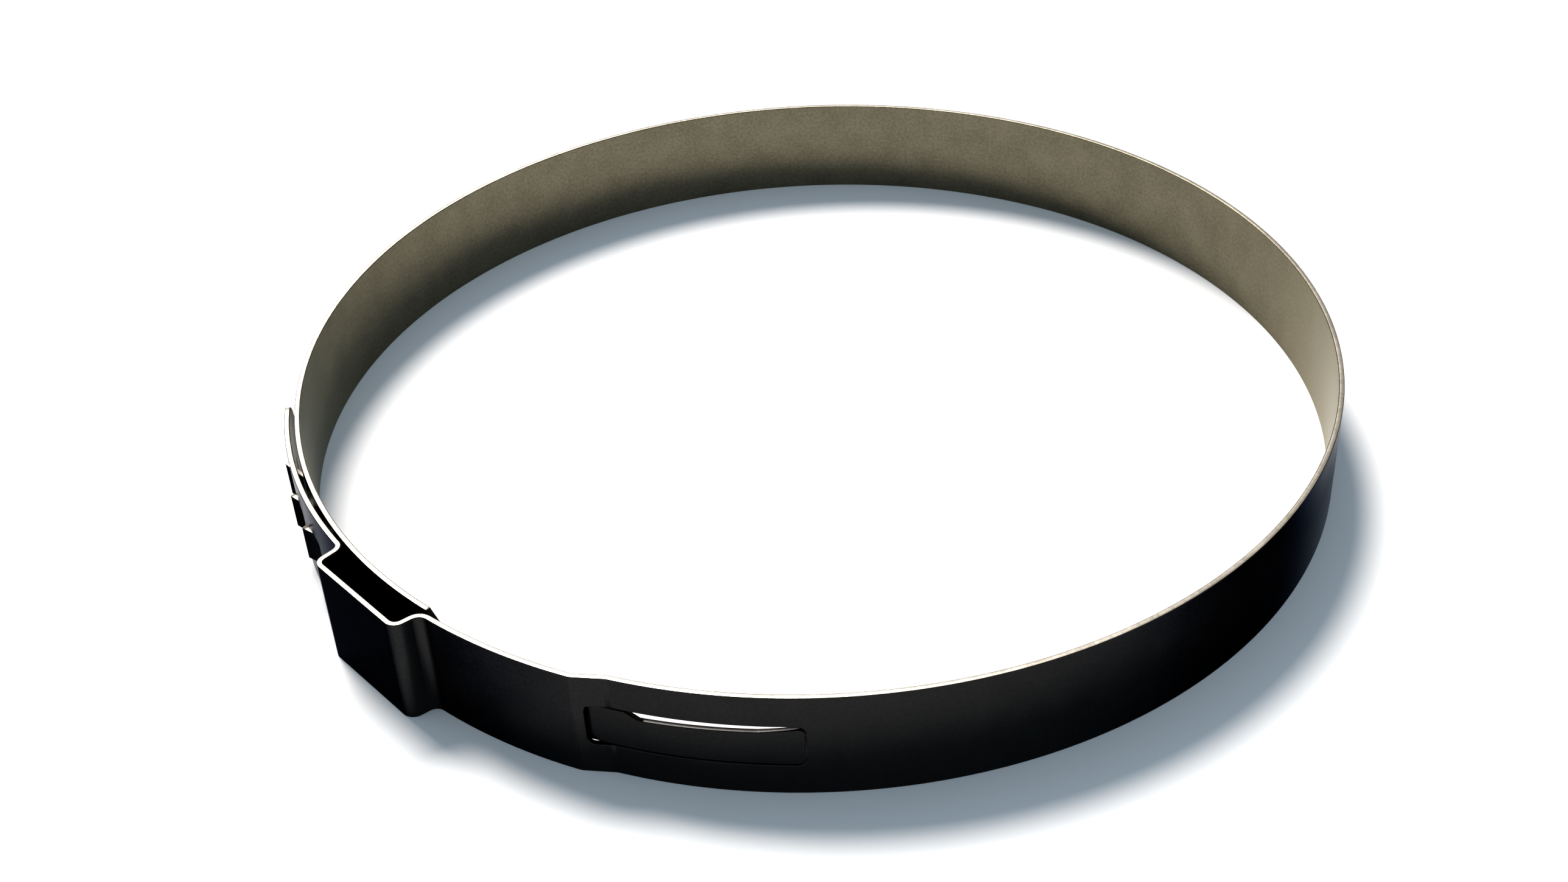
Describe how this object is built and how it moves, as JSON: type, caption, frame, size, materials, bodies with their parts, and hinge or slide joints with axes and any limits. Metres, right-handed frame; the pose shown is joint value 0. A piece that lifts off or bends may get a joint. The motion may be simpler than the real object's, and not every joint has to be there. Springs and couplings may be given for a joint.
{
  "type": "ear hose clamp",
  "caption": "Stepless ear hose clamp: a rolled stainless strip hooked to itself, with a raised ear to squeeze closed and a tongue lying flush in a slot so the bore stays smooth.",
  "frame": {"origin": "on the ring's axis, at half the strip's width", "axes": "+Z along the hose's axis; the ear is at about 221 degrees from +X towards +Y, so it points to -X -Y"},
  "size_m": [0.0871, 0.0866, 0.009],
  "materials": {
    "clamp_band": "cold-rolled stainless strip, smooth and half bright on its faces, sheared bright on its edges"
  },
  "bodies": {
    "root": {"clamp_band": "clamp_band"}
  },
  "joints": []
}
